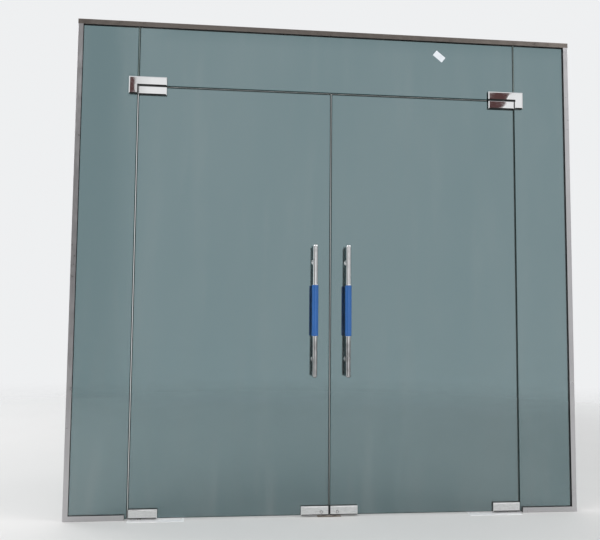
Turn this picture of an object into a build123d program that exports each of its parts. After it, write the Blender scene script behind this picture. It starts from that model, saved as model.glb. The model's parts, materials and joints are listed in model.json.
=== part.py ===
from build123d import *
import math
import os

# Frameless glass entrance: two double-action leaves on floor springs, between
# two fixed side panes and under one fixed pane. Millimetres.
# X runs along the glass, +Y is the inner side, Z = 0 is the finished floor,
# and the origin is the middle of the doorway. Pieces are modelled on the left,
# and the right ones mirror them.

# Opening and panes
opening_width = 3020.0
opening_height = 2900.0
glass_thickness = 12.0
glass_arris = 1.0
side_width = 354.0
over_height = 390.0
floor_gap = 9.0
side_gap = 4.0
meeting_gap = 3.0
over_gap = 4.0

# Channels round the fixed panes, folded from sheet
channel_height = 30.0
channel_wall = 1.5
channel_bend = 3.0
channel_cutback = 15.0
seal_thickness = 6.0
seal_height = 10.0
seal_round = 1.5
jamb_clearance = 7.0
head_clearance = 8.5
block_height = 5.0
block_length = 60.0
block_inset = 60.0
anchor_radius = 3.25
anchor_inset = 235.0
floor_anchor_inset = 94.5

# Patch fittings: two clamp halves under folded covers
patch_length = 165.0
patch_height = 52.0
cover_depth = 10.0
cover_sheet = 1.5
bevel_width = 6.0
bevel_depth = 2.5
cover_fit = 0.3
gasket_thickness = 1.0
corner_leg_drop = 51.0
notch_end_margin = 65.0
notch_edge_margin = 22.0
lock_notch_margin = 8.0
notch_round = 10.0
notch_clearance = 1.0
edge_setback = 0.5
corner_notch_margin = 20.0

# Clamp screws
clamp_radius = 4.0
clamp_head_radius = 6.5
clamp_head_height = 6.0
clamp_socket = 6.0
clamp_socket_depth = 3.0
clamp_clearance = 0.2
clamp_first = 22.0
clamp_from_end = 10.0
clamp_from_edge = 15.0
clamp_tip_wall = 2.2
thread_fit = 0.02

# Pivots
pivot_setback = 65.0
pin_radius = 7.5
pin_in_patch = 26.0
pin_in_bush = 22.0
pin_flat = 1.0
bush_wall = 3.5
bush_height = 25.0
running_fit = 0.05
press_fit = 0.02
spindle_radius = 11.0
spindle_depth = 20.0
spindle_shoulder = 7.0
drive_length = 26.0
drive_width = 10.0
drive_height = 18.0
drive_taper = 1.2

# Floor springs in their cement boxes
box_length = 306.0
box_width = 98.0
box_depth = 50.0
box_sheet = 1.5
plate_rim = 6.0
plate_thickness = 2.0
plate_round = 1.0
plate_hole_play = 1.0
casting_end_gap = 10.0
casting_side_gap = 9.0
casting_top = 7.0
casting_round = 14.0
casting_rib = 3.0
spindle_boss_radius = 24.0
boss_play = 0.5
lug_radius = 8.0
plate_screw_radius = 2.5
plate_screw_head = 4.8
plate_screw_length = 14.0
plate_screw_inset = 12.0
screw_slot = 1.2
valve_radius = 5.0
valve_spacing = 22.0

# Lock patches: a key pinion drives a toothed bolt
bolt_width = 20.0
bolt_thickness = 10.0
bolt_headroom = 3.5
bolt_setback = 30.0
bolt_bottom = 1.0
bolt_chamfer = 1.5
bolt_fit = 0.1
pinion_teeth = 12
tooth_pitch = 3.0
pressure_angle = 20.0
rack_addendum = 0.65
pinion_addendum = 0.95
tooth_clearance = 0.25
backlash = 0.3
flank_steps = 3
rack_start = -2
key_height = 19.0
pinion_width = 11.0
plug_radius = 6.5
plug_collar = 2.5
plug_proud = 0.3
key_slot_width = 2.4
key_slot_height = 9.0
key_slot_depth = 5.0
throw_teeth = 6

# Strike plate on the floor under the meeting edges
strike_length = 140.0
strike_width = 36.0
strike_thickness = 2.0
strike_wall = 2.0
strike_end_play = 4.0
strike_play = 1.5
strike_screw_spacing = 116.0
strike_screw_radius = 2.6
strike_round = 4.0

# Pull handles, one pair on each leaf
handle_setback = 97.0
handle_centre = 1194.0
handle_length = 780.0
handle_projection = 66.0
bar_radius = 15.0
bar_dome = 12.0
ring_radius = 17.0
ring_height = 6.0
ring_round = 1.5
grip_radius = 19.0
grip_length = 296.0
grip_round = 2.0
post_inset = 105.0
post_radius = 11.0
rosette_radius = 16.0
rosette_height = 6.0
rosette_round = 2.0
washer_thickness = 1.5
washer_radius = 15.0
glass_hole_radius = 7.0
stud_radius = 4.0
stud_reach = 30.0
stud_end_play = 1.0

# Blank label on the fixed pane
label_length = 72.0
label_width = 39.0
label_thickness = 0.3
label_round = 3.0
label_from_joint = 476.0
label_from_top = 123.0
label_tilt = -38.7

# Places that follow from the sizes above
glass_half = glass_thickness / 2
jamb_x = -opening_width / 2
side_edge_x = jamb_x + side_width
leaf_outer_x = side_edge_x + side_gap
leaf_inner_x = -meeting_gap / 2
leaf_bottom = floor_gap
leaf_top = opening_height - over_height
over_bottom = leaf_top + over_gap
corner_leg_bottom = over_bottom - corner_leg_drop
lip_x = jamb_x + channel_height
lip_top = opening_height - channel_height
pane_outer_x = jamb_x + channel_wall + jamb_clearance
pane_top = opening_height - channel_wall - head_clearance
pane_bottom = channel_wall + block_height
floor_channel_end_x = side_edge_x - channel_cutback
pivot_x = leaf_outer_x + pivot_setback
channel_inner = glass_thickness + 2 * seal_thickness
channel_width = channel_inner + 2 * channel_wall
patch_half = glass_half + cover_depth
clamp_face = glass_half + gasket_thickness
clamp_depth = cover_depth - cover_sheet - gasket_thickness - cover_fit
clamp_back = clamp_face + clamp_depth
notch_length = patch_length - notch_end_margin
notch_height = patch_height - notch_edge_margin
lock_notch_height = patch_height - lock_notch_margin
clamp_last = notch_length - clamp_from_end
bush_radius = pin_radius + running_fit + bush_wall
plate_length = box_length + 2 * plate_rim
plate_width = box_width + 2 * plate_rim
plate_middle_x = leaf_outer_x + plate_length / 2
pinion_radius = pinion_teeth * tooth_pitch / (2 * math.pi)
bolt_edge = bolt_setback + bolt_width / 2
key_setback = bolt_edge - rack_addendum + pinion_radius
bolt_throw = throw_teeth * tooth_pitch
bolt_length = lock_notch_height - bolt_headroom - bolt_bottom
strike_depth = bolt_throw - bolt_bottom - floor_gap + strike_end_play
handle_x = leaf_inner_x - handle_setback
post_spacing = handle_length - 2 * post_inset
label_centre_x = -leaf_outer_x - label_from_joint
label_centre_z = opening_height - label_from_top


def block(x, y, z):
    """A box from its low and high corner on each axis."""
    centre = Pos((x[0] + x[1]) / 2, (y[0] + y[1]) / 2, (z[0] + z[1]) / 2)
    return centre * Box(x[1] - x[0], y[1] - y[0], z[1] - z[0])


def round_z(radius, low, high, x=0.0, y=0.0):
    """A cylinder along Z."""
    return Pos(x, y, (low + high) / 2) * Cylinder(radius, high - low)


def round_y(radius, low, high, x=0.0, z=0.0):
    """A cylinder along Y."""
    return Pos(x, (low + high) / 2, z) * Rot(-90, 0, 0) * Cylinder(radius, high - low)


def area(x, z):
    """A rectangle in the plane of the glass, from its low and high corner."""
    return Pos((x[0] + x[1]) / 2, (z[0] + z[1]) / 2) * Rectangle(x[1] - x[0], z[1] - z[0])


def slab(outline, start, depth):
    """An outline in the plane of the glass, thickened outward from Y = -start."""
    return extrude(Plane.XZ.offset(start) * outline, depth)


def through(outline, half_depth):
    """An outline in the plane of the glass, thickened to both sides of it."""
    return slab(outline, -half_depth, 2 * half_depth)


def both_sides(piece):
    """A piece of the outer side, and the same piece on the inner side."""
    return [piece, piece.mirror(Plane.XZ)]


def inward(outline, amount):
    """An outline drawn in by an amount, with its corners kept sharp."""
    return offset(outline, -amount, kind=Kind.INTERSECTION)


# The three patches of a leaf share one local place: X = 0 is the leaf's edge and
# runs into the leaf, Z = 0 is its top or bottom edge and runs into the leaf.

def at_bottom_pivot(piece):
    return Pos(leaf_outer_x, 0, leaf_bottom) * piece


def at_top_pivot(piece):
    return Pos(leaf_outer_x, 0, leaf_top) * piece.mirror(Plane.XY)


def at_lock(piece):
    return Pos(leaf_inner_x, 0, leaf_bottom) * piece.mirror(Plane.YZ)


# Channels and what seats the fixed panes

def channel(length):
    """U channel along X with its web on Z = 0, folded with round bends."""
    outside = area((-channel_width / 2, channel_width / 2), (0, channel_height))
    outside = fillet(outside.vertices().group_by(Axis.Y)[0], channel_bend)
    inside = area((-channel_inner / 2, channel_inner / 2), (channel_wall, channel_height))
    inside = fillet(inside.vertices().group_by(Axis.Y)[0], channel_bend - channel_wall)
    profile = Plane.YZ * (outside - inside)
    return Pos(-length / 2, 0, 0) * extrude(profile, length)


def drilled(part, centres):
    """A channel with anchor holes through its web, along X."""
    for x in centres:
        part -= round_z(anchor_radius, -1, channel_wall + channel_bend, x)
    return part


def anchor_row(length):
    """Places of a long channel's four evenly spaced anchors, from its middle."""
    outer = length / 2 - anchor_inset
    return [-outer, -outer / 3, outer / 3, outer]


def head_channel():
    part = drilled(channel(opening_width), anchor_row(opening_width))
    return Pos(0, 0, opening_height) * part.mirror(Plane.XY)


def jamb_channel():
    part = drilled(channel(lip_top), anchor_row(lip_top))
    return Pos(jamb_x, 0, lip_top / 2) * Rot(0, 90, 0) * part


def floor_channel():
    length = floor_channel_end_x - lip_x
    half = length / 2 - floor_anchor_inset
    part = drilled(channel(length), (-half, half))
    return Pos(lip_x + length / 2, 0, 0) * part


def seal_strip(x, z, lip):
    """A seal strip on the outer side, rounded along the edge that shows."""
    strip = block(x, (-channel_inner / 2, -glass_half), z)
    axis = Axis.X if lip == "side" else Axis.Z
    ends = strip.faces().sort_by(axis)
    shown = ends[0] if lip == "under" else ends[-1]
    along = Axis.Z if lip == "side" else Axis.X
    return fillet(shown.edges().filter_by(along), seal_round)


def glazing_seals():
    """Head strip, two jamb strips and two floor strips, on each side of the glass."""
    head_end = jamb_x + channel_wall
    head = seal_strip((head_end, -head_end), (lip_top, lip_top + seal_height), "under")
    jamb = seal_strip((lip_x - seal_height, lip_x), (channel_height, lip_top), "side")
    floor = seal_strip((lip_x, floor_channel_end_x), (channel_height - seal_height, channel_height), "over")
    strips = both_sides(head)
    for strip in both_sides(jamb) + both_sides(floor):
        strips += [strip, strip.mirror(Plane.YZ)]
    return strips


def setting_blocks():
    """Two blocks under each side pane, in the floor channel."""
    blocks = []
    for x in (pane_outer_x + block_inset, floor_channel_end_x - block_inset / 2):
        one = block((x - block_length / 2, x + block_length / 2),
                    (-glass_half, glass_half), (channel_wall, pane_bottom))
        blocks += [one, one.mirror(Plane.YZ)]
    return blocks


# Glass

def arrised(pane):
    """A pane with the edges of both faces ground off."""
    faces = pane.faces().filter_by(Axis.Y).group_by(Axis.Y)
    edges = faces[0].edges() + faces[-1].edges()
    return chamfer(edges, glass_arris)


def notch(length, height):
    """Cut-out at the corner of a leaf, in the patches' local place."""
    sheet = area((-length, length), (-height, height))
    corner = sheet.vertices().group_by(Axis.X)[-1].sort_by(Axis.Y)[-1]
    return fillet(corner, notch_round)


def handle_heights():
    return [handle_centre - post_spacing / 2, handle_centre + post_spacing / 2]


def leaf_glass():
    pane = through(area((leaf_outer_x, leaf_inner_x), (leaf_bottom, leaf_top)), glass_half)
    pivot_notch = through(notch(notch_length, notch_height), glass_thickness)
    pane -= at_bottom_pivot(pivot_notch)
    pane -= at_top_pivot(pivot_notch)
    pane -= at_lock(through(notch(notch_length, lock_notch_height), glass_thickness))
    pane = arrised(pane)
    for z in handle_heights():
        pane -= round_y(glass_hole_radius, -glass_thickness, glass_thickness, handle_x, z)
    return pane


def side_notch():
    """Cut-out in the edge of a side pane, behind the corner patch's leg."""
    low = corner_leg_bottom + corner_notch_margin
    high = over_bottom + notch_height
    sheet = area((side_edge_x - notch_height, side_edge_x + notch_height), (low, high))
    return fillet(sheet.vertices().group_by(Axis.X)[0], notch_round)


def side_glass():
    pane = through(area((pane_outer_x, side_edge_x), (pane_bottom, pane_top)), glass_half)
    pane -= through(side_notch(), glass_thickness)
    return arrised(pane)


def over_glass():
    """The fixed pane over the leaves, cut out at both lower corners."""
    pane = through(area((leaf_outer_x, -leaf_outer_x), (over_bottom, pane_top)), glass_half)
    cut = Pos(leaf_outer_x, 0, over_bottom) * through(notch(notch_length, notch_height), glass_thickness)
    pane -= cut
    pane -= cut.mirror(Plane.YZ)
    return arrised(pane)


def over_joint_seals():
    """A bead of sealant between the fixed panes, above each corner patch."""
    low = over_bottom + patch_height
    bead = block((side_edge_x, leaf_outer_x), (-glass_half + glass_arris, glass_half - glass_arris),
                 (low, lip_top))
    return [bead, bead.mirror(Plane.YZ)]


def label():
    sheet = RectangleRounded(label_length, label_width, label_round)
    place = Pos(label_centre_x, 0, label_centre_z) * Rot(0, -label_tilt, 0)
    return place * slab(sheet, glass_half, label_thickness)


# Patch fittings

def cover(outline):
    """Folded cover on the outer side, open to the glass, with a bevelled face."""
    shell = slab(outline, glass_half, cover_depth)
    face = shell.faces().sort_by(Axis.Y)[0]
    shell = chamfer(face.edges(), bevel_width, bevel_depth, reference=face)
    hollow = slab(inward(outline, cover_sheet), glass_half, cover_depth - cover_sheet)
    face = hollow.faces().sort_by(Axis.Y)[0]
    hollow = chamfer(face.edges(), bevel_width - cover_sheet, bevel_depth - cover_sheet / 2, reference=face)
    return shell - hollow


def clamp_outline(outline):
    return inward(outline, cover_sheet + cover_fit)


def clamp_plate(outline):
    """Outer half of a clamp body, bevelled like the cover that goes over it."""
    plate = slab(clamp_outline(outline), clamp_face, clamp_depth)
    face = plate.faces().sort_by(Axis.Y)[0]
    return chamfer(face.edges(), bevel_width, bevel_depth, reference=face)


def clamp_screw():
    """Hexagon socket screw along Y at X = Z = 0, with its head on the inner side."""
    seat = clamp_back - clamp_head_height - clamp_clearance
    top = seat + clamp_head_height
    screw = round_y(clamp_radius, -clamp_back + clamp_tip_wall, seat)
    screw += round_y(clamp_head_radius, seat, top)
    hexagon = RegularPolygon(clamp_socket / 2, 6, major_radius=False)
    return screw - slab(hexagon, -top, clamp_socket_depth)


def clamp_holes(centres):
    """Holes that the clamp screws need, in the clamp halves and the gaskets."""
    seat = clamp_back - clamp_head_height - clamp_clearance
    tip = -clamp_back + clamp_tip_wall - clamp_clearance
    cuts = []
    for x, z in centres:
        cuts.append(round_y(clamp_radius + thread_fit, tip, clamp_face, x, z))
        cuts.append(round_y(clamp_radius + clamp_clearance, clamp_face, seat, x, z))
        cuts.append(round_y(clamp_head_radius + clamp_clearance, seat, clamp_back + 1, x, z))
    return cuts


def leaf_clamp_centres(lock=False):
    """Places of a leaf patch's clamp screws, clear of its pivot or its lock."""
    if lock:
        return [(key_setback + (notch_length - key_setback) / 2, clamp_from_edge),
                (clamp_last, lock_notch_height - clamp_from_edge)]
    return [(clamp_first, clamp_from_edge), (clamp_last, clamp_from_edge)]


def patch_outline():
    return area((0, patch_length), (0, patch_height))


def boss_outline(length, height):
    """What fills a leaf's cut-out between the clamp halves."""
    sheet = area((edge_setback, length - notch_clearance), (edge_setback, height - notch_clearance))
    corner = sheet.vertices().group_by(Axis.X)[-1].sort_by(Axis.Y)[-1]
    return fillet(corner, notch_round - notch_clearance)


def clamp_pair(outline, boss, cuts):
    """Outer clamp half with its boss, and the plain inner half, both cut out."""
    outer = clamp_plate(outline)
    inner = outer.mirror(Plane.XZ)
    outer += through(boss, glass_half)
    outer += through(boss & clamp_outline(outline), clamp_face)
    for cut in cuts:
        outer -= cut
        inner -= cut
    return [outer, inner]


def gasket(outline, cut_out):
    return slab(clamp_outline(outline) - cut_out, glass_half, gasket_thickness)


def bush():
    """Bush that the top pivot pin turns in, in the leaf patches' local place."""
    tube = round_z(bush_radius, edge_setback, bush_height, pivot_setback)
    return tube - round_z(pin_radius + running_fit, 0, bush_height + 1, pivot_setback)


def top_patch_cuts():
    return [round_z(bush_radius + press_fit, -1, bush_height + press_fit, pivot_setback)]


def drive(play):
    """Tapered drive of the floor spring's spindle, in the local place."""
    low = spindle_shoulder - floor_gap
    foot = Pos(pivot_setback, 0, low) * Rectangle(drive_length + 2 * play, drive_width + 2 * play)
    top = Pos(pivot_setback, 0, low + drive_height + play) * Rectangle(
        drive_length - 2 * drive_taper + 2 * play, drive_width - 2 * drive_taper + 2 * play)
    return loft([foot, top])


def spindle():
    """Floor spring's spindle: a round shaft and a tapered drive, in one piece."""
    low = -spindle_depth - floor_gap
    high = spindle_shoulder - floor_gap
    return round_z(spindle_radius, low, high, pivot_setback) + drive(0)


def top_pivot_pin():
    """Pin fixed in the corner patch, down into the leaf's bush, with a chamfered end."""
    pin = round_z(pin_radius, leaf_top - pin_in_bush, over_bottom + pin_in_patch, pivot_x)
    ends = pin.edges().filter_by(GeomType.CIRCLE).sort_by(Axis.Z)
    return chamfer([ends[0], ends[-1]], pin_flat)


def bush_relief():
    """Half-round relief for the bush in the upper walls of the top patch's covers."""
    return round_z(bush_radius + plate_hole_play, -1, cover_sheet + 1, pivot_setback)


# Corner patches between the fixed panes

def corner_outline():
    """L round the leaf's top corner: one leg on the side pane, one on the pane above."""
    left = side_edge_x - patch_height
    right = leaf_outer_x + patch_length
    top = over_bottom + patch_height
    leg = area((left, side_edge_x), (corner_leg_bottom, top))
    return leg + area((left, right), (over_bottom, top))


def corner_cut_out():
    """Where the corner patch has no glass to grip."""
    over = Pos(leaf_outer_x, over_bottom) * notch(notch_length, notch_height)
    joint = area((side_edge_x, leaf_outer_x), (corner_leg_bottom, over_bottom + patch_height))
    return over + side_notch() + joint


def corner_boss():
    """What fills the fixed panes' cut-outs between the clamp halves."""
    left = side_edge_x - notch_height + notch_clearance
    right = leaf_outer_x + notch_length - notch_clearance
    top = over_bottom + notch_height - notch_clearance
    low = corner_leg_bottom + corner_notch_margin + notch_clearance
    side = area((left, side_edge_x - edge_setback), (low, top))
    over = area((left, right), (over_bottom + edge_setback, top))
    corners = (side + over).vertices()
    rounded = [corners.sort_by_distance((left, low))[0], corners.sort_by_distance((left, top))[0],
               corners.sort_by_distance((right, top))[0]]
    return fillet(rounded, notch_round - notch_clearance)


def corner_clamp_centres():
    """Three clamp screws: two on the leg over the leaf, one on the side pane's leg."""
    row = over_bottom + clamp_from_edge
    return [(leaf_outer_x + clamp_first, row), (leaf_outer_x + clamp_last, row),
            (side_edge_x - clamp_from_edge, over_bottom - clamp_from_edge)]


def corner_body():
    pin_hole = round_z(pin_radius + press_fit, over_bottom - 1, over_bottom + pin_in_patch + 1, pivot_x)
    return clamp_pair(corner_outline(), corner_boss(), clamp_holes(corner_clamp_centres()) + [pin_hole])


def corner_covers():
    relief = round_z(pin_radius + plate_hole_play, over_bottom - 1, over_bottom + cover_sheet + 1, pivot_x)
    return both_sides(cover(corner_outline()) - relief)


# Lock: toothed bolt, key pinion and clamp body

def involute(angle):
    return math.tan(angle) - angle


def pinion_outline():
    """Pinion with involute flanks, with a tooth space towards +X."""
    pressure = math.radians(pressure_angle)
    base = pinion_radius * math.cos(pressure)
    tip = pinion_radius + pinion_addendum
    root = pinion_radius - rack_addendum - tooth_clearance
    half_tooth = (tooth_pitch - backlash) / 4 / pinion_radius
    flank = [(root, half_tooth + involute(pressure))]
    for step in range(flank_steps + 1):
        radius = base + (tip - base) * step / flank_steps
        flank.append((radius, half_tooth + involute(pressure) - involute(math.acos(base / radius))))
    tooth = [(radius, -angle) for radius, angle in flank] + flank[::-1]
    points = []
    for number in range(pinion_teeth):
        middle = (number + 0.5) * 2 * math.pi / pinion_teeth
        for radius, angle in tooth:
            turn = middle + angle
            points.append((radius * math.cos(turn), radius * math.sin(turn)))
    return make_face(Polyline(*points, close=True))


def key_plug():
    """Plug with a key slot in each end, and the pinion that drives the bolt."""
    end = patch_half + plug_proud
    slot = area((-key_slot_width / 2, key_slot_width / 2), (-key_slot_height / 2, key_slot_height / 2))
    shaft = round_y(plug_radius, -end, -pinion_width / 2)
    shaft -= slab(slot, end - key_slot_depth, key_slot_depth + 1)
    plug = shaft + shaft.mirror(Plane.XZ) + through(pinion_outline(), pinion_width / 2)
    return Pos(key_setback, 0, key_height) * plug.mirror(Plane.YZ)


def rack_space(height):
    """One space between the bolt's teeth."""
    slope = math.tan(math.radians(pressure_angle))
    middle = (tooth_pitch + backlash) / 4
    root = bolt_edge - rack_addendum - pinion_addendum - tooth_clearance
    mouth = middle + rack_addendum * slope
    foot = middle - (pinion_addendum + tooth_clearance) * slope
    points = [(root, height - foot), (bolt_edge, height - mouth), (bolt_edge + 1, height - mouth),
              (bolt_edge + 1, height + mouth), (bolt_edge, height + mouth), (root, height + foot)]
    return make_face(Polyline(*points, close=True))


def lock_bolt():
    bolt = through(area((bolt_edge - bolt_width, bolt_edge), (bolt_bottom, bolt_bottom + bolt_length)),
                   bolt_thickness / 2)
    bolt = chamfer(bolt.faces().sort_by(Axis.Z)[0].edges(), bolt_chamfer)
    for number in range(rack_start, throw_teeth - rack_start - 1):
        height = key_height + (number + 0.5) * tooth_pitch
        bolt -= through(rack_space(height), bolt_thickness)
    return bolt


def lock_cuts():
    """Room for the bolt, the pinion and the plug in the lock's clamp halves."""
    half = bolt_thickness / 2 + bolt_fit
    bolt_room = block((bolt_edge - bolt_width - bolt_fit, bolt_edge + bolt_fit), (-half, half),
                      (-1, bolt_bottom + bolt_length + 2 * bolt_fit))
    tip = pinion_radius + pinion_addendum + tooth_clearance
    pinion_room = round_y(tip, -pinion_width / 2 - bolt_fit, clamp_face, key_setback, key_height)
    bore = round_y(plug_radius + running_fit, -patch_half - 1, patch_half + 1, key_setback, key_height)
    return [bolt_room, pinion_room, bore]


def lock_case():
    """Clamp halves of the lock patch, each with a collar round the key plug."""
    cuts = clamp_holes(leaf_clamp_centres(lock=True)) + lock_cuts()
    outer, inner = clamp_pair(patch_outline(), boss_outline(notch_length, lock_notch_height), cuts)
    face = -patch_half - plug_proud
    collar = round_y(plug_radius + plug_collar, face, -clamp_back + 1, key_setback, key_height)
    collar -= round_y(plug_radius + running_fit, face - 1, -clamp_back + 2, key_setback, key_height)
    return [outer + collar, inner + collar.mirror(Plane.XZ)]


def lock_cover():
    collar_hole = plug_radius + plug_collar + clamp_clearance
    hole = round_y(collar_hole, -patch_half - 1, -glass_half, key_setback, key_height)
    bolt_gap = block((bolt_edge - bolt_width - cover_fit, bolt_edge + cover_fit),
                     (-bolt_thickness / 2 - cover_fit, 0), (-1, cover_sheet + 1))
    return cover(patch_outline()) - hole - bolt_gap


# Floor springs

def floor_plate():
    """Cover plate on the floor, with a hole for the spindle and two screws."""
    plate = block((leaf_outer_x, leaf_outer_x + plate_length), (-plate_width / 2, plate_width / 2),
                  (0, plate_thickness))
    plate = fillet(plate.faces().sort_by(Axis.Z)[-1].edges(), plate_round)
    plate -= round_z(spindle_radius + plate_hole_play, -1, plate_thickness + 1, pivot_x)
    for x in plate_screw_places():
        plate -= plate_screw(x, thread_fit)
    return plate


def plate_screw_places():
    half = box_length / 2 - plate_screw_inset
    return (plate_middle_x - half, plate_middle_x + half)


def plate_screw(x, play=0.0):
    """Countersunk screw in the floor plate, grown by its play to cut its hole."""
    head = Pos(x, 0, plate_thickness / 2) * Cone(
        plate_screw_radius + play, plate_screw_head + play, plate_thickness)
    return head + round_z(plate_screw_radius + play, plate_thickness - plate_screw_length - play, 0, x)


def slotted(piece, x, top, width):
    """A screw head with a slot for a driver."""
    depth = screw_slot / 2
    return piece - block((x - width, x + width), (-depth, depth), (top - screw_slot, top + 1))


def floor_screws():
    screws = []
    for x in plate_screw_places():
        one = slotted(plate_screw(x), x, plate_thickness, plate_screw_head)
        screws += [one, one.mirror(Plane.YZ)]
    return screws


def floor_box():
    """Cement box, open at the top, under the floor plate."""
    x = (plate_middle_x - box_length / 2, plate_middle_x + box_length / 2)
    y = (-box_width / 2, box_width / 2)
    shell = block(x, y, (-box_depth, 0))
    return shell - block((x[0] + box_sheet, x[1] - box_sheet), (y[0] + box_sheet, y[1] - box_sheet),
                         (-box_depth + box_sheet, 1))


def floor_casting():
    """Cast housing of the floor spring, with spindle boss, screw lugs and valve screws."""
    low = -box_depth + box_sheet
    half_length = box_length / 2 - casting_end_gap
    half_width = box_width / 2 - casting_side_gap
    part = block((plate_middle_x - half_length, plate_middle_x + half_length), (-half_width, half_width),
                 (low, -casting_top))
    part = fillet(part.edges().filter_by(Axis.Z), casting_round)
    part += round_z(spindle_boss_radius, low, -boss_play, pivot_x)
    part = fillet(part.faces().filter_by(Axis.Z).sort_by(Axis.Z)[-2].outer_wire().edges(), casting_rib)
    for x in plate_screw_places():
        part += round_z(lug_radius, low, 0, x)
    for y in (-valve_spacing / 2, valve_spacing / 2):
        x = plate_middle_x + half_length - 2 * casting_round
        part += round_z(valve_radius, -casting_top - 1, -casting_top / 2, x, y)
        part -= block((x - valve_radius, x + valve_radius), (y - screw_slot / 2, y + screw_slot / 2),
                      (-casting_top / 2 - screw_slot, 0))
    for x in plate_screw_places():
        part -= round_z(plate_screw_radius + thread_fit, plate_thickness - plate_screw_length - 1, 1, x)
    return part - round_z(spindle_radius + running_fit, -spindle_depth - running_fit, 1, pivot_x)


def strike():
    """Strike plate with two sunk sockets, one for each leaf's bolt."""
    plate = block((-strike_length / 2, strike_length / 2), (-strike_width / 2, strike_width / 2),
                  (0, strike_thickness))
    plate = fillet(plate.edges().filter_by(Axis.Z), strike_round)
    plate = chamfer(plate.faces().sort_by(Axis.Z)[-1].edges(), strike_thickness / 2)
    half_x = bolt_width / 2 + strike_play
    half_y = bolt_thickness / 2 + strike_play
    for x in (leaf_inner_x - bolt_setback, bolt_setback - leaf_inner_x):
        plate += block((x - half_x - strike_wall, x + half_x + strike_wall),
                       (-half_y - strike_wall, half_y + strike_wall), (-strike_depth - strike_wall, 0))
        plate -= block((x - half_x, x + half_x), (-half_y, half_y), (-strike_depth, strike_thickness + 1))
    for x in (-strike_screw_spacing / 2, strike_screw_spacing / 2):
        plate -= round_z(strike_screw_radius, -1, strike_thickness + 1, x)
    return plate


# Handles

def handle_bar():
    """Outer bar: a domed round bar with a raised ring at each end of the grip."""
    bar = Cylinder(bar_radius, handle_length)
    bar = fillet(bar.edges().filter_by(GeomType.CIRCLE), bar_dome)
    for sign in (-1, 1):
        ring = Cylinder(ring_radius, ring_height)
        ring = fillet(ring.edges().filter_by(GeomType.CIRCLE), ring_round)
        bar += Pos(0, 0, sign * (grip_length + ring_height) / 2) * ring
    return Pos(handle_x, -handle_projection, handle_centre) * bar


def handle_grip():
    """Sleeve over the middle of the outer bar."""
    sleeve = Cylinder(grip_radius, grip_length)
    sleeve = fillet(sleeve.edges().filter_by(GeomType.CIRCLE), grip_round)
    sleeve -= Cylinder(bar_radius + press_fit, grip_length + 2)
    return Pos(handle_x, -handle_projection, handle_centre) * sleeve


def handle_post(height):
    """Turned post from the washer to the bar, with a rosette at its foot."""
    foot = -glass_half - washer_thickness
    rosette = round_y(rosette_radius, foot - rosette_height, foot, handle_x, height)
    rosette = fillet(rosette.edges().filter_by(GeomType.CIRCLE).sort_by(Axis.Y)[0], rosette_round)
    post = rosette + round_y(post_radius, -handle_projection, foot, handle_x, height)
    post -= Pos(handle_x, -handle_projection, height) * Cylinder(bar_radius + press_fit, 4 * post_radius)
    reach = stud_reach + stud_end_play
    return post - round_y(stud_radius + thread_fit, -reach, foot + 1, handle_x, height)


def handle_stud(height):
    return round_y(stud_radius, -stud_reach, stud_reach, handle_x, height)


def handle_washer(height):
    """Flanged washer between the post and the glass, with a spigot in the glass hole."""
    washer = round_y(washer_radius, -glass_half - washer_thickness, -glass_half, handle_x, height)
    washer += round_y(glass_hole_radius - clamp_clearance, -glass_half, -glass_half / 4, handle_x, height)
    return washer - round_y(stud_radius + clamp_clearance, -glass_thickness, 0, handle_x, height)


# Nodes of one leaf, on the left

def leaf_liners():
    """Gaskets of the three patches and the handles' washers."""
    pivot_gasket = gasket(patch_outline(), notch(notch_length, notch_height))
    lock_gasket = gasket(patch_outline(), notch(notch_length, lock_notch_height))
    liners = both_sides(at_bottom_pivot(pivot_gasket))
    liners += both_sides(at_top_pivot(pivot_gasket))
    liners += both_sides(at_lock(lock_gasket))
    for height in handle_heights():
        liners += both_sides(handle_washer(height))
    return liners


def leaf_screws():
    """Clamp screws of the three patches."""
    screws = []
    for x, z in leaf_clamp_centres():
        screw = Pos(x, 0, z) * clamp_screw()
        screws += [at_bottom_pivot(screw), at_top_pivot(screw)]
    for x, z in leaf_clamp_centres(lock=True):
        screws.append(at_lock(Pos(x, 0, z) * clamp_screw()))
    return screws


def pivot_body(cuts):
    return clamp_pair(patch_outline(), boss_outline(notch_length, notch_height),
                      clamp_holes(leaf_clamp_centres()) + cuts)


def leaf_nodes():
    top_cover = cover(patch_outline()) - bush_relief()
    heights = handle_heights()
    return {
        "leaf_glass": [leaf_glass()],
        "top_patch_body": [at_top_pivot(half) for half in pivot_body(top_patch_cuts())],
        "top_patch_covers": both_sides(at_top_pivot(top_cover)),
        "bottom_patch_body": [at_bottom_pivot(half) for half in pivot_body([drive(running_fit)])],
        "bottom_patch_covers": both_sides(at_bottom_pivot(cover(patch_outline()))),
        "lock_case": [at_lock(half) for half in lock_case()],
        "lock_covers": both_sides(at_lock(lock_cover())),
        "lock_bolt": [at_lock(lock_bolt())],
        "key_plug": [at_lock(key_plug())],
        "leaf_liners": leaf_liners(),
        "leaf_clamp_screws": leaf_screws(),
        "pivot_bush": [at_top_pivot(bush())],
        "spindle": [at_bottom_pivot(spindle())],
        "outer_handle_bar": [handle_bar()],
        "inner_handle_bar": [handle_bar().mirror(Plane.XZ)],
        "handle_grips": both_sides(handle_grip()),
        "handle_posts": [side for height in heights for side in both_sides(handle_post(height))],
        "handle_studs": [handle_stud(height) for height in heights],
    }


# Nodes of the fixed part that have a left and a right one

def fixed_nodes():
    return {
        "jamb_channel": [jamb_channel()],
        "floor_channel": [floor_channel()],
        "side_glass": [side_glass()],
        "corner_patch_body": corner_body(),
        "corner_patch_covers": corner_covers(),
    }


# Nodes of the fixed part that stand once, some with alike pieces on both sides

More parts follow.
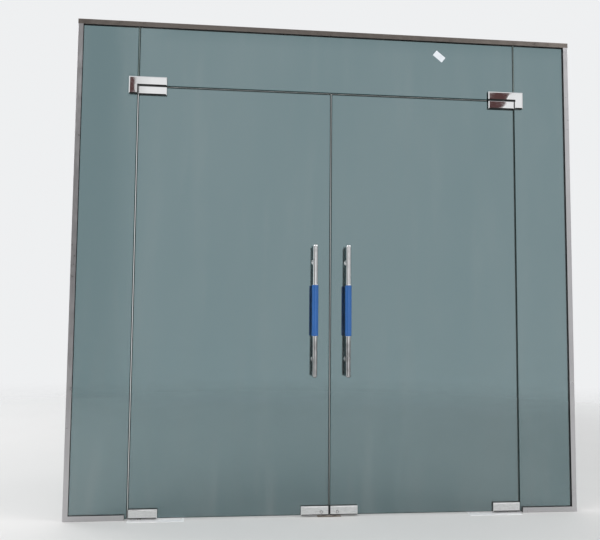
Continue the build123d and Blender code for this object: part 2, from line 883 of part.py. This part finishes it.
def with_mirror(pieces):
    return pieces + [piece.mirror(Plane.YZ) for piece in pieces]


def shared_nodes():
    corner_screws = [Pos(x, 0, z) * clamp_screw() for x, z in corner_clamp_centres()]
    corner_gaskets = both_sides(gasket(corner_outline(), corner_cut_out()))
    return {
        "head_channel": [head_channel()],
        "glazing_seals": glazing_seals(),
        "setting_blocks": setting_blocks(),
        "over_glass": [over_glass()],
        "over_joint_seals": over_joint_seals(),
        "blank_label": [label()],
        "corner_patch_gaskets": with_mirror(corner_gaskets),
        "corner_clamp_screws": with_mirror(corner_screws),
        "top_pivot_pins": with_mirror([top_pivot_pin()]),
        "floor_spring_boxes": with_mirror([floor_box()]),
        "floor_spring_castings": with_mirror([floor_casting()]),
        "floor_spring_plates": with_mirror([floor_plate()]),
        "floor_plate_screws": floor_screws(),
        "strike_plate": [strike()],
    }


def write_node(name, pieces):
    """One file for each node, with every separate piece as its own solid."""
    solids = [solid for piece in pieces for solid in piece.solids()]
    shape = solids[0] if len(solids) == 1 else Compound(children=solids)
    export_step(shape, f"parts/{name}.step")


os.makedirs("parts", exist_ok=True)
for name, pieces in shared_nodes().items():
    write_node(name, pieces)
for name, pieces in {**fixed_nodes(), **leaf_nodes()}.items():
    write_node(f"left_{name}", pieces)
    write_node(f"right_{name}", [piece.mirror(Plane.YZ) for piece in pieces])
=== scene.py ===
import json
import math

import bpy
from mathutils import Euler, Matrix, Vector


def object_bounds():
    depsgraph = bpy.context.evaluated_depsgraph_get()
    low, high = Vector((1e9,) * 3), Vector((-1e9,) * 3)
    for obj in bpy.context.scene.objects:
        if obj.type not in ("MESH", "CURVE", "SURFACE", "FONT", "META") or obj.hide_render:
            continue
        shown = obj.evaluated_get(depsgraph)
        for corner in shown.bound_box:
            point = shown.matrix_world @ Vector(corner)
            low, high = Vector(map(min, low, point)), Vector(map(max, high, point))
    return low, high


# Looks of the glass entrance: materials for every node, a pale floor, soft light
# and the camera. Metres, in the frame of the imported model: X runs along the
# glass, +Y is the inner side, Z = 0 is the finished floor.

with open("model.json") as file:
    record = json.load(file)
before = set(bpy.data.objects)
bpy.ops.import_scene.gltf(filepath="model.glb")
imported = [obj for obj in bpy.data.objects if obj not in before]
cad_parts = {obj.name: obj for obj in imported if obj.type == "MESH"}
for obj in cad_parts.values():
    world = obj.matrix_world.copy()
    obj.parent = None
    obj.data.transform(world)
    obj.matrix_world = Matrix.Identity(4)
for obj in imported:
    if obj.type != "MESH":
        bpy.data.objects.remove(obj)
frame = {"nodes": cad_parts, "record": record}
cad_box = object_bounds()
nodes = frame["nodes"]

# Camera: where it stands, how it is turned, and its lens on a 36 mm sensor
IMAGE_WIDTH = 600
IMAGE_HEIGHT = 540
SENSOR_WIDTH = 36.0
CAMERA_PLACE = (-0.632, -4.119, 1.159)
CAMERA_PAN = 0.1033
CAMERA_TILT = 0.0748
CAMERA_ROLL = 0.0090
FOCAL_PIXELS = 697.4
PRINCIPAL_X = 296.2
PRINCIPAL_Y = 264.0

# Seams between the panes: their places, and how far beside them the ground edges
# show. The right side seam is slimmer, by an amount that grows across the leaves.
SIDE_SEAM_X = 1.154
OVER_SEAM_Z = 2.512
OPENING_TOP = cad_box[1][2]
SEAM_DARK_TO = 0.0048
SEAM_FADED_AT = 0.0078
RIGHT_SEAM_SLIMMER = 0.0028
LEAF_MIDDLE_X = 0.5

# Heights: up to where dust and scuffs reach, and where the painted shade on the handles below their
# grips fades out
DUST_TOP = 0.55
SCUFFS_FULL_TO = 0.10
SCUFFS_TOP = 0.60
PAINTED_HANDLE_SHADE_FULL_TO = 0.95
PAINTED_HANDLE_SHADE_TOP = 1.12

# Glass: how much it mirrors when seen head on, over its border and on its ground edges
INDEX_OF_REFRACTION = 1.5
HEAD_ON_SHEEN = 0.045
SHEEN_POWER = 5.0
BORDER_SHEEN = 0.3
EDGE_SPECULAR = 0.03

# Film of dust on the glass: the share that it covers where it is thin, dense, wiped
# or speckled, and how much more or less of it lies at the floor and over the border
THIN_FILM = 0.004
DENSE_FILM = 0.040
WIPED_FILM = 0.035
SPECKLED_FILM = 0.03
FILM_AT_FLOOR = 2.2
FILM_OVER_BORDER = 0.1

# Between these two lie most values of a noise
NOISE_LOW = 0.3
NOISE_HIGH = 0.7

# Colours, linear
GLASS_TINT = (0.430, 0.516, 0.530)
GLASS_BORDER = (0.07, 0.13, 0.13)
GLASS_EDGE = (0.010, 0.034, 0.031)
DUST = (0.62, 0.62, 0.60)
STEEL = (0.88, 0.88, 0.88)
SATIN = (0.56, 0.55, 0.56)
# Head channel: a brown grey of the satin steel, as painted shade under the lintel
HEAD_CHANNEL_SHADE = (0.24, 0.21, 0.19)
PLATE = (0.93, 0.93, 0.94)
ZINC = (0.58, 0.58, 0.56)
# Cast aluminium, darkened as painted shade for the dark slots it sits in
SHADED_ALUMINIUM = (0.26, 0.26, 0.27)
IRON = (0.10, 0.11, 0.12)
NICKEL = (0.80, 0.79, 0.78)
BRASS = (0.22, 0.17, 0.12)
RUBBER = (0.018, 0.018, 0.019)
NYLON = (0.72, 0.74, 0.73)
SEALANT = (0.20, 0.25, 0.24)
BLUE = (0.017, 0.112, 0.365)
WORN_BLUE = (0.13, 0.24, 0.47)
PAPER = (0.74, 0.78, 0.82)
FLOOR = (0.68, 0.675, 0.665)
HORIZON = (0.86, 0.87, 0.88)
ZENITH = (0.70, 0.71, 0.73)
FLAG = (0.075, 0.072, 0.070)
BROWN_FLAG = (0.098, 0.050, 0.050)

# Shades of the steel, as shares of its colour: dull spots, painted shade on the handles below their
# grips, scuffs, and painted shade on the covers' joints, flanges and undersides
DULL = 0.62
PAINTED_HANDLE_SHADE = 0.46
SCUFFED = 0.66
SHADED = 0.04

# The floor's half width, and how far from the door it starts and ends to fade
FLOOR_REACH = 30.0
FLOOR_FADE_START = 2.4
FLOOR_FADE_END = 9.5

# How far up a direction points where the horizon's colour ends and the zenith's starts
HORIZON_TO = 0.40
ZENITH_FROM = 0.95

# Lamps: name, place, width, height, power in watts
LAMP_TARGET = (0.0, 0.0, 1.3)
LAMPS = (
    ("key", (-5.8, -4.2, 7.6), 5.0, 4.4, 260),
    ("fill", (6.4, -3.0, 6.6), 4.4, 4.0, 230),
    ("rear", (-6.2, 3.4, 4.2), 3.6, 3.0, 150),
)

# Flags, the dark panels that shiny surfaces reflect: name, first and last floor
# place, foot and top, and the other arguments of dark_flag
FLAG_FOOT = -2.0
FLAGS = (
    ("flag_left", (-9.0, -6.0), (-1.70, -6.0), FLAG_FOOT, 9.0, {"soft": 0.10}),
    ("flag_corner", (-2.06, -5.99), (-1.945, -5.99), 4.32, 4.66, {"lean": -0.03, "colour": BROWN_FLAG}),
    ("flag_over", (-1.95, -6.0), (9.0, -6.0), 5.1, 9.0, {"soft": 0.10}),
    ("flag_middle", (3.33, -6.0), (3.54, -6.0), 4.34, 4.63, {"lean": 0.20, "colour": BROWN_FLAG}),
    ("flag_right", (4.6, -5.6), (7.4, -2.0), FLAG_FOOT, 5.0, {"soft": 0.25}),
    ("flag_rear_left", (-7.2, 0.2), (-6.1, 3.0), FLAG_FOOT, 5.2, {"soft": 0.30}),
    ("flag_rear_right", (2.4, 6.8), (6.2, 3.8), FLAG_FOOT, 5.2, {"soft": 0.30}),
)


# Node helpers

class Tree:
    """A material's node tree with short calls for what the materials here share."""

    def __init__(self, name):
        self.material = bpy.data.materials.new(name)
        self.material.use_nodes = True
        self.nodes = self.material.node_tree.nodes
        self.links = self.material.node_tree.links
        self.nodes.clear()
        self.output = self.nodes.new("ShaderNodeOutputMaterial")

    def add(self, kind, **inputs):
        """A node with the inputs given by name, with _ for each space."""
        node = self.nodes.new(kind)
        for key, value in inputs.items():
            self.put(node, key.replace("_", " "), value)
        return node

    def put(self, node, key, value):
        """Links or sets one input, by its name or its number."""
        socket = node.inputs[int(key)] if key.isdigit() else node.inputs[key]
        if isinstance(value, bpy.types.NodeSocket):
            self.links.new(value, socket)
        elif socket.type == "RGBA" and len(value) == 3:
            socket.default_value = (*value, 1.0)
        else:
            socket.default_value = value

    # Places and patterns

    def axis(self, output, name):
        """One axis of the surface's direction or place on its own piece."""
        coordinates = self.add("ShaderNodeTexCoord")
        split = self.add("ShaderNodeSeparateXYZ", Vector=coordinates.outputs[output])
        return split.outputs[name]

    def place(self, scale=(1.0, 1.0, 1.0)):
        """Object coordinates, scaled along each axis."""
        coordinates = self.add("ShaderNodeTexCoord")
        mapping = self.add("ShaderNodeMapping", Vector=coordinates.outputs["Object"])
        mapping.inputs["Scale"].default_value = scale
        return mapping.outputs["Vector"]

    def noise(self, scale, stretch=(1.0, 1.0, 1.0), detail=3.0, rough=0.55):
        """Noise with a scale per metre. A stretch below 1 draws it out along that axis."""
        node = self.add("ShaderNodeTexNoise", Vector=self.place(stretch))
        node.inputs["Scale"].default_value = scale
        node.inputs["Detail"].default_value = detail
        node.inputs["Roughness"].default_value = rough
        return node.outputs["Fac"]

    def bump(self, height, strength, distance, normal=None):
        """Normals of a surface that a height of 0 to 1 raises by up to the distance."""
        node = self.add("ShaderNodeBump", Height=height)
        node.inputs["Strength"].default_value = strength
        node.inputs["Distance"].default_value = distance
        if normal is not None:
            self.put(node, "Normal", normal)
        return node.outputs["Normal"]

    # Numbers

    def math(self, operation, a, b=0.0, clamp=False):
        node = self.nodes.new("ShaderNodeMath")
        node.operation = operation
        node.use_clamp = clamp
        self.put(node, "0", a)
        self.put(node, "1", b)
        return node.outputs[0]

    def plus(self, a, b, clamp=False):
        return self.math("ADD", a, b, clamp)

    def minus(self, a, b):
        return self.math("SUBTRACT", a, b)

    def times(self, a, b):
        return self.math("MULTIPLY", a, b)

    def larger(self, a, b):
        return self.math("MAXIMUM", a, b)

    def smaller(self, a, b):
        return self.math("MINIMUM", a, b)

    def size(self, a):
        return self.math("ABSOLUTE", a)

    def span(self, value, low, high, to_low, to_high, smooth=False):
        """A value between low and high, spread between two others."""
        node = self.nodes.new("ShaderNodeMapRange")
        node.interpolation_type = "SMOOTHSTEP" if smooth else "LINEAR"
        for key, amount in zip(("Value", "From Min", "From Max", "To Min", "To Max"),
                               (value, low, high, to_low, to_high)):
            self.put(node, key, amount)
        return node.outputs["Result"]

    def rise(self, value, low, high, top=1.0, smooth=False):
        """0 up to the low value, and from there up to the top at the high one."""
        return self.span(value, low, high, 0.0, top, smooth)

    def fall(self, value, low, high, smooth=False):
        """1 up to the low value, and from there down to 0 at the high one."""
        return self.span(value, low, high, 1.0, 0.0, smooth)

    def between(self, factor, first, second):
        """The first number at a factor of 0, the second at 1."""
        return self.span(factor, 0.0, 1.0, first, second)

    def vary(self, noise, low, high):
        """A number that goes with a noise from the low one to the high one."""
        return self.span(noise, NOISE_LOW, NOISE_HIGH, low, high)

    # Colours and shaders

    def blend(self, factor, first, second):
        """The first colour at a factor of 0, the second at 1."""
        node = self.nodes.new("ShaderNodeMix")
        node.data_type = "RGBA"
        self.put(node, "0", factor)
        self.put(node, "6", first)
        self.put(node, "7", second)
        return node.outputs[2]

    def shades(self, factor, colour, first, second):
        """The first shade of a colour at a factor of 0, the second at 1."""
        return self.blend(factor, shade(colour, first), shade(colour, second))

    def mix(self, factor, first, second):
        """The first shader at a factor of 0, the second at 1."""
        node = self.add("ShaderNodeMixShader", Fac=factor)
        self.links.new(first, node.inputs[1])
        self.links.new(second, node.inputs[2])
        return node.outputs[0]

    def shader(self, kind, **inputs):
        return self.add("ShaderNode" + kind, **inputs).outputs[0]

    def show(self, shader):
        """Puts a shader on the surface and gives the material."""
        self.links.new(shader, self.output.inputs["Surface"])
        return self.material

    def principled(self, **inputs):
        """The material with one principled shader."""
        return self.show(self.shader("BsdfPrincipled", **inputs))


def shade(colour, amount):
    return tuple(channel * amount for channel in colour)


# Materials

def seam_border(tree, side_seam_top=OPENING_TOP):
    """1 along the seams, where the ground edges show through the panes' faces, else 0."""
    sideways = tree.axis("Object", "X")
    height = tree.axis("Object", "Z")
    across = tree.size(sideways)
    beyond_side_seam = tree.minus(across, SIDE_SEAM_X)
    above_over_seam = tree.minus(height, OVER_SEAM_Z)
    slimmer = tree.rise(sideways, -LEAF_MIDDLE_X, LEAF_MIDDLE_X, RIGHT_SEAM_SLIMMER)
    side_seam = tree.plus(tree.size(beyond_side_seam), slimmer)
    side_seam = tree.larger(side_seam, tree.minus(height, side_seam_top))
    over_seam = tree.larger(tree.size(above_over_seam), beyond_side_seam)
    meeting_seam = tree.larger(across, above_over_seam)
    nearest = tree.smaller(tree.smaller(side_seam, over_seam), meeting_seam)
    return tree.fall(nearest, SEAM_DARK_TO, SEAM_FADED_AT, smooth=True)


def clear_glass():
    """Tempered glass: tinted through its faces, deep green on its edges, thinly dusted."""
    tree = Tree("clear_glass")
    border = seam_border(tree)
    smears = tree.noise(1.6, (1.0, 1.0, 0.35), 5.0, 0.6)

    # The pane mirrors more at a slant, and less over its border
    facing = tree.add("ShaderNodeLayerWeight", Blend=0.5).outputs["Facing"]
    sheen = tree.between(tree.math("POWER", facing, SHEEN_POWER), HEAD_ON_SHEEN, 1.0)
    sheen = tree.times(sheen, tree.between(border, 1.0, BORDER_SHEEN))
    clear = tree.shader("BsdfTransparent", Color=tree.blend(border, GLASS_TINT, GLASS_BORDER))
    gloss = tree.shader("BsdfGlossy", Roughness=tree.rise(smears, 0.35, 0.70, 0.035))
    pane = tree.mix(sheen, clear, gloss)

    # The film of dust shows the wiping, and is denser and speckled near the floor
    low = tree.fall(tree.axis("Object", "Z"), 0.0, DUST_TOP, smooth=True)
    specks = tree.rise(tree.noise(240.0, detail=2.0), 0.62, 0.80)
    wipes = tree.noise(7.0, (1.0, 1.0, 0.10), 5.0, 0.65)
    film = tree.plus(tree.span(smears, 0.40, 0.72, THIN_FILM, DENSE_FILM),
                     tree.rise(wipes, 0.50, 0.72, WIPED_FILM))
    film = tree.times(film, tree.between(low, 1.0, FILM_AT_FLOOR))
    film = tree.plus(film, tree.times(specks, SPECKLED_FILM))
    film = tree.times(film, tree.between(border, 1.0, FILM_OVER_BORDER))
    dusty = tree.mix(film, pane, tree.shader("BsdfDiffuse", Color=DUST))

    # The ground edges are all that doesn't face inwards or outwards
    edge = tree.fall(tree.size(tree.axis("Normal", "Y")), 0.80, 0.95)
    ground = tree.noise(60.0, detail=4.0)
    rim = tree.shader("BsdfPrincipled", Base_Color=tree.shades(ground, GLASS_EDGE, 0.75, 1.25),
                      Roughness=tree.between(ground, 0.30, 0.50),
                      IOR=INDEX_OF_REFRACTION, Specular_IOR_Level=EDGE_SPECULAR)
    return tree.show(tree.mix(edge, dusty, rim))


def polished_steel():
    """Polished stainless steel with faint waves, lengthwise streaks, finger marks and dull spots.

    Below their grips the handles are painted a duller, darker grey: painted shade where they mirror the
    dark ground."""
    tree = Tree("polished_stainless")
    marks = tree.noise(22.0, detail=4.0)
    streaks = tree.noise(520.0, (1.0, 1.0, 0.03))
    waves = tree.noise(9.0, detail=1.0)
    spots = tree.rise(tree.noise(120.0, (1.0, 1.0, 0.5)), 0.54, 0.68)
    dull = tree.times(spots, tree.span(marks, 0.40, 0.62, 0.25, 1.0))
    # Painted shade: below their grips the handles are painted a darker grey of the steel
    below_grips = tree.fall(tree.axis("Object", "Z"), PAINTED_HANDLE_SHADE_FULL_TO, PAINTED_HANDLE_SHADE_TOP, smooth=True)
    lower_handle_shade = tree.times(below_grips, tree.span(marks, 0.36, 0.60, 0.65, 1.0))
    colour = tree.shades(tree.rise(streaks, 0.35, 0.68), STEEL, 1.03, 0.88)
    colour = tree.blend(dull, colour, shade(STEEL, DULL))
    colour = tree.blend(lower_handle_shade, colour, shade(STEEL, PAINTED_HANDLE_SHADE))
    rough = tree.plus(tree.span(marks, 0.45, 0.75, 0.06, 0.18), tree.times(dull, 0.20))
    normal = tree.bump(waves, 0.25, 0.002)
    normal = tree.bump(streaks, 0.10, 0.0002, normal)
    return tree.principled(Base_Color=colour, Metallic=1.0, Roughness=rough, Normal=normal)


def cover_steel():
    """Folded stainless covers with polished faces, and with scuffs and spots near the floor.

    Their joints, flanges and undersides are painted nearly black, as painted shade."""
    tree = Tree("cover_stainless")
    marks = tree.noise(22.0, detail=4.0)
    scratches = tree.noise(1000.0, (0.02, 1.0, 1.0))
    streaks = tree.noise(240.0, (0.12, 1.0, 1.0), 5.0, 0.65)
    low = tree.fall(tree.axis("Object", "Z"), SCUFFS_FULL_TO, SCUFFS_TOP)
    flange = tree.fall(tree.size(tree.axis("Normal", "Y")), 0.30, 0.60)
    underside = tree.fall(tree.axis("Normal", "Z"), -0.34, -0.20)
    # Painted shade: the joints, flanges and undersides are painted nearly black
    shaded = tree.larger(tree.larger(flange, underside), seam_border(tree, OVER_SEAM_Z))
    spots = tree.times(tree.rise(tree.noise(340.0, detail=4.0), 0.50, 0.72), low)
    scuffs = tree.larger(tree.times(tree.rise(streaks, 0.48, 0.68, 0.8), low), spots)
    colour = tree.shades(marks, STEEL, 0.96, 1.03)
    colour = tree.blend(scuffs, colour, shade(STEEL, SCUFFED))
    colour = tree.blend(shaded, colour, shade(STEEL, SHADED))
    rough = tree.plus(tree.span(marks, 0.45, 0.75, 0.02, 0.07), tree.times(scuffs, 0.26))
    rough = tree.plus(rough, tree.times(shaded, 0.35), clamp=True)
    normal = tree.bump(tree.noise(11.0, detail=1.0), 0.12, 0.002)
    normal = tree.bump(tree.times(scratches, low), 0.20, 0.0003, normal)
    return tree.principled(Base_Color=colour, Metallic=1.0, Roughness=rough, Normal=normal)


def walked_on_steel():
    """Satin plate in the floor, scratched to and fro by shoes."""
    tree = Tree("walked_on_stainless")
    scratches = tree.noise(520.0, (0.25, 1.0, 1.0), 4.0, 0.65)
    wear = tree.rise(tree.noise(26.0, detail=4.0), 0.35, 0.75)
    return tree.principled(Base_Color=tree.shades(wear, PLATE, 1.0, 0.86), Metallic=0.20,
                           Roughness=tree.vary(scratches, 0.34, 0.50),
                           Normal=tree.bump(scratches, 0.15, 0.0003))


def satin_steel(name, base):
    """Satin stainless sheet, brushed along its length."""
    tree = Tree(name)
    lines = tree.noise(1400.0, (0.02, 1.0, 0.02))
    patches = tree.noise(5.0, detail=4.0)
    return tree.principled(Base_Color=tree.shades(patches, base, 0.90, 1.08), Metallic=1.0,
                           Roughness=tree.plus(tree.vary(lines, 0.24, 0.36), tree.times(patches, 0.06)),
                           Normal=tree.bump(lines, 0.18, 0.0003))


def cast_metal(name, base, grain, rough, metallic):
    """Cast surface with a sandy grain."""
    tree = Tree(name)
    sand = tree.noise(grain, detail=5.0, rough=0.7)
    patches = tree.noise(14.0)
    return tree.principled(Base_Color=tree.shades(patches, base, 0.86, 1.10),
                           Metallic=metallic, Roughness=tree.vary(sand, rough, rough + 0.2),
                           Normal=tree.bump(sand, 0.35, 0.0006))


def plated_steel():
    """Turned and zinc-plated steel with faint rings of the tool and dull patches."""
    tree = Tree("plated_steel")
    rings = tree.noise(700.0, (1.0, 0.05, 1.0), 2.0)
    patches = tree.noise(45.0, detail=4.0)
    return tree.principled(Base_Color=tree.shades(patches, ZINC, 0.86, 1.08), Metallic=1.0,
                           Roughness=tree.span(patches, 0.3, 0.75, 0.20, 0.42),
                           Normal=tree.bump(rings, 0.12, 0.0002))


def zinc_sheet():
    """Galvanised sheet with its spangle."""
    tree = Tree("zinc_sheet")
    spangle = tree.add("ShaderNodeTexVoronoi", Vector=tree.place(), Scale=90.0)
    grey = tree.add("ShaderNodeSeparateColor", Color=spangle.outputs["Color"]).outputs[0]
    return tree.principled(Base_Color=tree.shades(grey, ZINC, 0.78, 1.0), Metallic=1.0,
                           Roughness=tree.between(grey, 0.30, 0.48),
                           Normal=tree.bump(grey, 0.08, 0.0003))


def brass():
    """Brass plate, brushed along its length, with darker tarnished places."""
    tree = Tree("brass")
    lines = tree.noise(1200.0, (0.03, 1.0, 1.0), 2.0)
    tarnish = tree.noise(40.0, detail=5.0, rough=0.65)
    colour = tree.shades(tree.rise(tarnish, 0.40, 0.75), BRASS, 1.0, 0.55)
    rough = tree.plus(tree.span(tarnish, 0.3, 0.8, 0.22, 0.42), tree.times(lines, 0.06))
    return tree.principled(Base_Color=colour, Metallic=1.0, Roughness=rough,
                           Normal=tree.bump(lines, 0.12, 0.0002))


def soft_plastic(name, base, rough, grain, strength):
    """Rubber, nylon or sealant: matt, with a fine skin and slightly uneven tone."""
    tree = Tree(name)
    skin = tree.noise(grain, detail=4.0)
    tone = tree.noise(12.0)
    return tree.principled(Base_Color=tree.shades(tone, base, 0.85, 1.12),
                           Roughness=tree.vary(skin, rough - 0.07, rough + 0.07),
                           Normal=tree.bump(skin, strength, 0.0004))


def blue_grip():
    """Glossy moulded sleeve with fine lengthwise draw lines and light scuffs."""
    tree = Tree("blue_plastic")
    draw_lines = tree.noise(260.0, (1.0, 1.0, 0.02))
    worn = tree.rise(tree.noise(420.0, (1.0, 1.0, 0.15)), 0.66, 0.80, 0.35)
    tone = tree.noise(7.0)
    colour = tree.blend(worn, tree.shades(tone, BLUE, 0.88, 1.14), WORN_BLUE)
    rough = tree.plus(tree.vary(draw_lines, 0.20, 0.30), tree.times(worn, 0.4))
    return tree.principled(Base_Color=colour, Roughness=rough, IOR=INDEX_OF_REFRACTION,
                           Coat_Weight=0.35, Coat_Roughness=0.12,
                           Normal=tree.bump(draw_lines, 0.10, 0.0003))


def paper():
    """Blank satin paper label with fibres, a few creases and a rubbed tone."""
    tree = Tree("white_paper")
    fibres = tree.noise(900.0, (1.0, 1.0, 0.4))
    creases = tree.noise(30.0, (1.0, 1.0, 0.3), 2.0)
    tone = tree.noise(25.0, detail=4.0)
    normal = tree.bump(creases, 0.30, 0.0020)
    return tree.principled(Base_Color=tree.shades(tone, PAPER, 0.92, 1.04),
                           Roughness=tree.vary(fibres, 0.42, 0.58),
                           Normal=tree.bump(fibres, 0.10, 0.0002, normal))


def dress_nodes():
    """Each node takes the material of its slot in the record, or a finish of its own."""
    materials = {
        "clear_glass": clear_glass(),
        "polished_stainless": polished_steel(),
        "satin_stainless": satin_steel("satin_stainless", SATIN),
        # The cast aluminium is darkened, as painted shade inside its slots
        "cast_aluminium": cast_metal("cast_aluminium", SHADED_ALUMINIUM, grain=420.0, rough=0.38, metallic=1.0),
        "plated_steel": plated_steel(),
        "zinc_sheet": zinc_sheet(),
        "cast_iron": cast_metal("cast_iron", IRON, grain=300.0, rough=0.48, metallic=0.2),
        "black_rubber": soft_plastic("black_rubber", RUBBER, rough=0.62, grain=380.0, strength=0.20),
        "clear_nylon": soft_plastic("clear_nylon", NYLON, rough=0.40, grain=260.0, strength=0.10),
        "white_nylon": soft_plastic("white_nylon", NYLON, rough=0.38, grain=260.0, strength=0.08),
        "clear_sealant": soft_plastic("clear_sealant", SEALANT, rough=0.30, grain=120.0, strength=0.25),
        "blue_plastic": blue_grip(),
        "brass": brass(),
        "satin_nickel": cast_metal("satin_nickel", NICKEL, grain=500.0, rough=0.22, metallic=1.0),
        "white_paper": paper(),
    }
    # By the node's name or its last word
    own_finish = {
        "covers": cover_steel(),
        "plates": walked_on_steel(),
        # The head channel is painted a darker brown grey, as painted shade under the lintel
        "head_channel": satin_steel("painted_shade_stainless", HEAD_CHANNEL_SHADE),
    }
    for part in frame["record"]["subparts"]:
        last_word = part["node"].rsplit("_", 1)[-1]
        finish = own_finish.get(last_word, materials[part["material_slot"]])
        finish = own_finish.get(part["node"], finish)
        for slot in nodes[part["node"]].material_slots:
            slot.material = finish


# Floor, light and camera

def flat_piece(name, corners):
    """A flat four-cornered piece of the studio."""
    mesh = bpy.data.meshes.new(name)
    mesh.from_pydata(corners, [], [(0, 1, 2, 3)])
    piece = bpy.data.objects.new(name, mesh)
    bpy.context.scene.collection.objects.link(piece)
    return piece


def pale_floor():
    """A wide pale floor that fades into the horizon."""
    sides = ((-1.0, -1.0), (1.0, -1.0), (1.0, 1.0), (-1.0, 1.0))
    floor = flat_piece("floor", [(x * FLOOR_REACH, y * FLOOR_REACH, 0.0) for x, y in sides])
    tree = Tree("pale_floor")
    cloud = tree.noise(1.3, detail=5.0)
    grain = tree.noise(160.0, detail=2.0)
    stone = tree.shader("BsdfPrincipled", Base_Color=tree.shades(cloud, FLOOR, 0.97, 1.03),
                        Roughness=tree.vary(grain, 0.50, 0.62), Specular_IOR_Level=0.3)
    distance = tree.nodes.new("ShaderNodeVectorMath")
    distance.operation = "LENGTH"
    tree.put(distance, "0", tree.place())
    near = tree.fall(distance.outputs["Value"], FLOOR_FADE_START, FLOOR_FADE_END, smooth=True)
    floor.data.materials.append(tree.show(tree.mix(near, tree.shader("BsdfTransparent"), stone)))


def soft_world():
    """Plain studio surroundings: pale all round, a little darker overhead."""
    world = bpy.data.worlds.new("studio")
    world.use_nodes = True
    bpy.context.scene.world = world
    links = world.node_tree.links
    make = world.node_tree.nodes.new
    background = world.node_tree.nodes["Background"]
    coordinates = make("ShaderNodeTexCoord")
    split = make("ShaderNodeSeparateXYZ")
    ramp = make("ShaderNodeMapRange")
    ramp.interpolation_type = "SMOOTHSTEP"
    ramp.inputs["From Min"].default_value = HORIZON_TO
    ramp.inputs["From Max"].default_value = ZENITH_FROM
    mix = make("ShaderNodeMix")
    mix.data_type = "RGBA"
    mix.inputs[6].default_value = (*HORIZON, 1.0)
    mix.inputs[7].default_value = (*ZENITH, 1.0)
    links.new(coordinates.outputs["Generated"], split.inputs[0])
    links.new(split.outputs["Z"], ramp.inputs["Value"])
    links.new(ramp.outputs["Result"], mix.inputs[0])
    links.new(mix.outputs[2], background.inputs["Color"])
    background.inputs["Strength"].default_value = 1.0


def area_light(name, place, width, height, power):
    """A rectangular lamp that points at the door."""
    data = bpy.data.lights.new(name, "AREA")
    data.shape = "RECTANGLE"
    data.size = width
    data.size_y = height
    data.energy = power
    light = bpy.data.objects.new(name, data)
    light.location = place
    light.rotation_euler = (Vector(LAMP_TARGET) - Vector(place)).to_track_quat("-Z", "Y").to_euler()
    bpy.context.scene.collection.objects.link(light)


def dark_flag(name, corner, far_corner, foot, top, lean=0.0, soft=0.0, colour=FLAG):
    """A dark upright panel from one floor place to another, which only shiny surfaces reflect.

    The lean moves the top of its far side along X. Its edges fade into the surroundings over a
    share of its width and height, given by soft."""
    top_corner = (far_corner[0] + lean, far_corner[1])
    panel = flat_piece(name, [(*corner, foot), (*far_corner, foot), (*top_corner, top), (*corner, top)])
    tree = Tree(name)
    if soft:
        along = "X" if abs(far_corner[0] - corner[0]) > abs(far_corner[1] - corner[1]) else "Y"
        from_sides = tree.math("PINGPONG", tree.axis("Generated", along), 0.5)
        from_ends = tree.math("PINGPONG", tree.axis("Generated", "Z"), 0.5)
        inside = tree.rise(tree.smaller(from_sides, from_ends), 0.0, soft, smooth=True)
        colour = tree.blend(inside, HORIZON, colour)
    panel.data.materials.append(tree.show(tree.shader("Emission", Color=colour)))
    for ray in ("camera", "diffuse", "transmission", "shadow", "volume_scatter"):
        setattr(panel, "visible_" + ray, False)


def light_studio():
    for lamp in LAMPS:
        area_light(*lamp)
    for *panel, look in FLAGS:
        dark_flag(*panel, **look)


def set_camera():
    data = bpy.data.cameras.new("camera")
    data.sensor_width = SENSOR_WIDTH
    data.lens = FOCAL_PIXELS * SENSOR_WIDTH / IMAGE_WIDTH
    data.shift_x = (IMAGE_WIDTH / 2 - PRINCIPAL_X) / IMAGE_WIDTH
    data.shift_y = (PRINCIPAL_Y - IMAGE_HEIGHT / 2) / IMAGE_WIDTH
    camera = bpy.data.objects.new("camera", data)
    camera.location = CAMERA_PLACE
    turn = Euler((math.pi / 2 + CAMERA_TILT, 0.0, -CAMERA_PAN), "XYZ").to_matrix()
    camera.rotation_euler = (turn @ Euler((0.0, 0.0, CAMERA_ROLL)).to_matrix()).to_euler()
    bpy.context.scene.collection.objects.link(camera)
    bpy.context.scene.camera = camera


bpy.context.scene.view_settings.view_transform = "Standard"
dress_nodes()
pale_floor()
soft_world()
light_studio()
set_camera()
